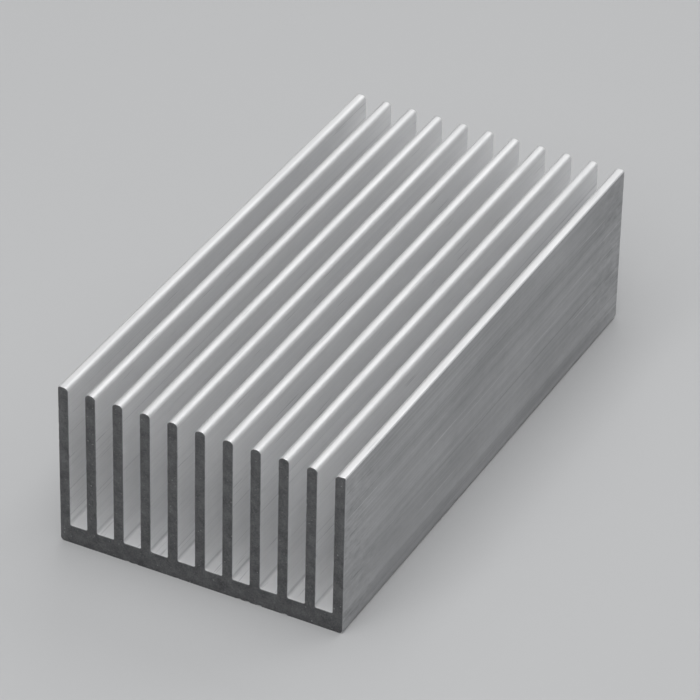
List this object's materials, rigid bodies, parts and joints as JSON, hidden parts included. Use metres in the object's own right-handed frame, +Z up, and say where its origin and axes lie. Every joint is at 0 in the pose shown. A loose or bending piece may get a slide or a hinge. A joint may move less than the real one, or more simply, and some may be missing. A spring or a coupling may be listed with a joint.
{
  "type": "extruded heat sink",
  "caption": "Extruded aluminium heat sink: a flat base plate with a row of tall straight parallel fins, sawn square at both ends.",
  "frame": {"origin": "centre of the base's underside, the flat face that it rests on and that meets the hot part", "axes": "+Z up from the base to the fin tips, +Y along the extrusion and the channels, +X across the row of fins"},
  "size_m": [0.0502, 0.1, 0.0296],
  "materials": {
    "mill_aluminium": "plain mill finish as extruded, with fine lengthwise die lines; both ends matt from the saw"
  },
  "bodies": {
    "root": {"heat_sink": "mill_aluminium"}
  },
  "joints": []
}
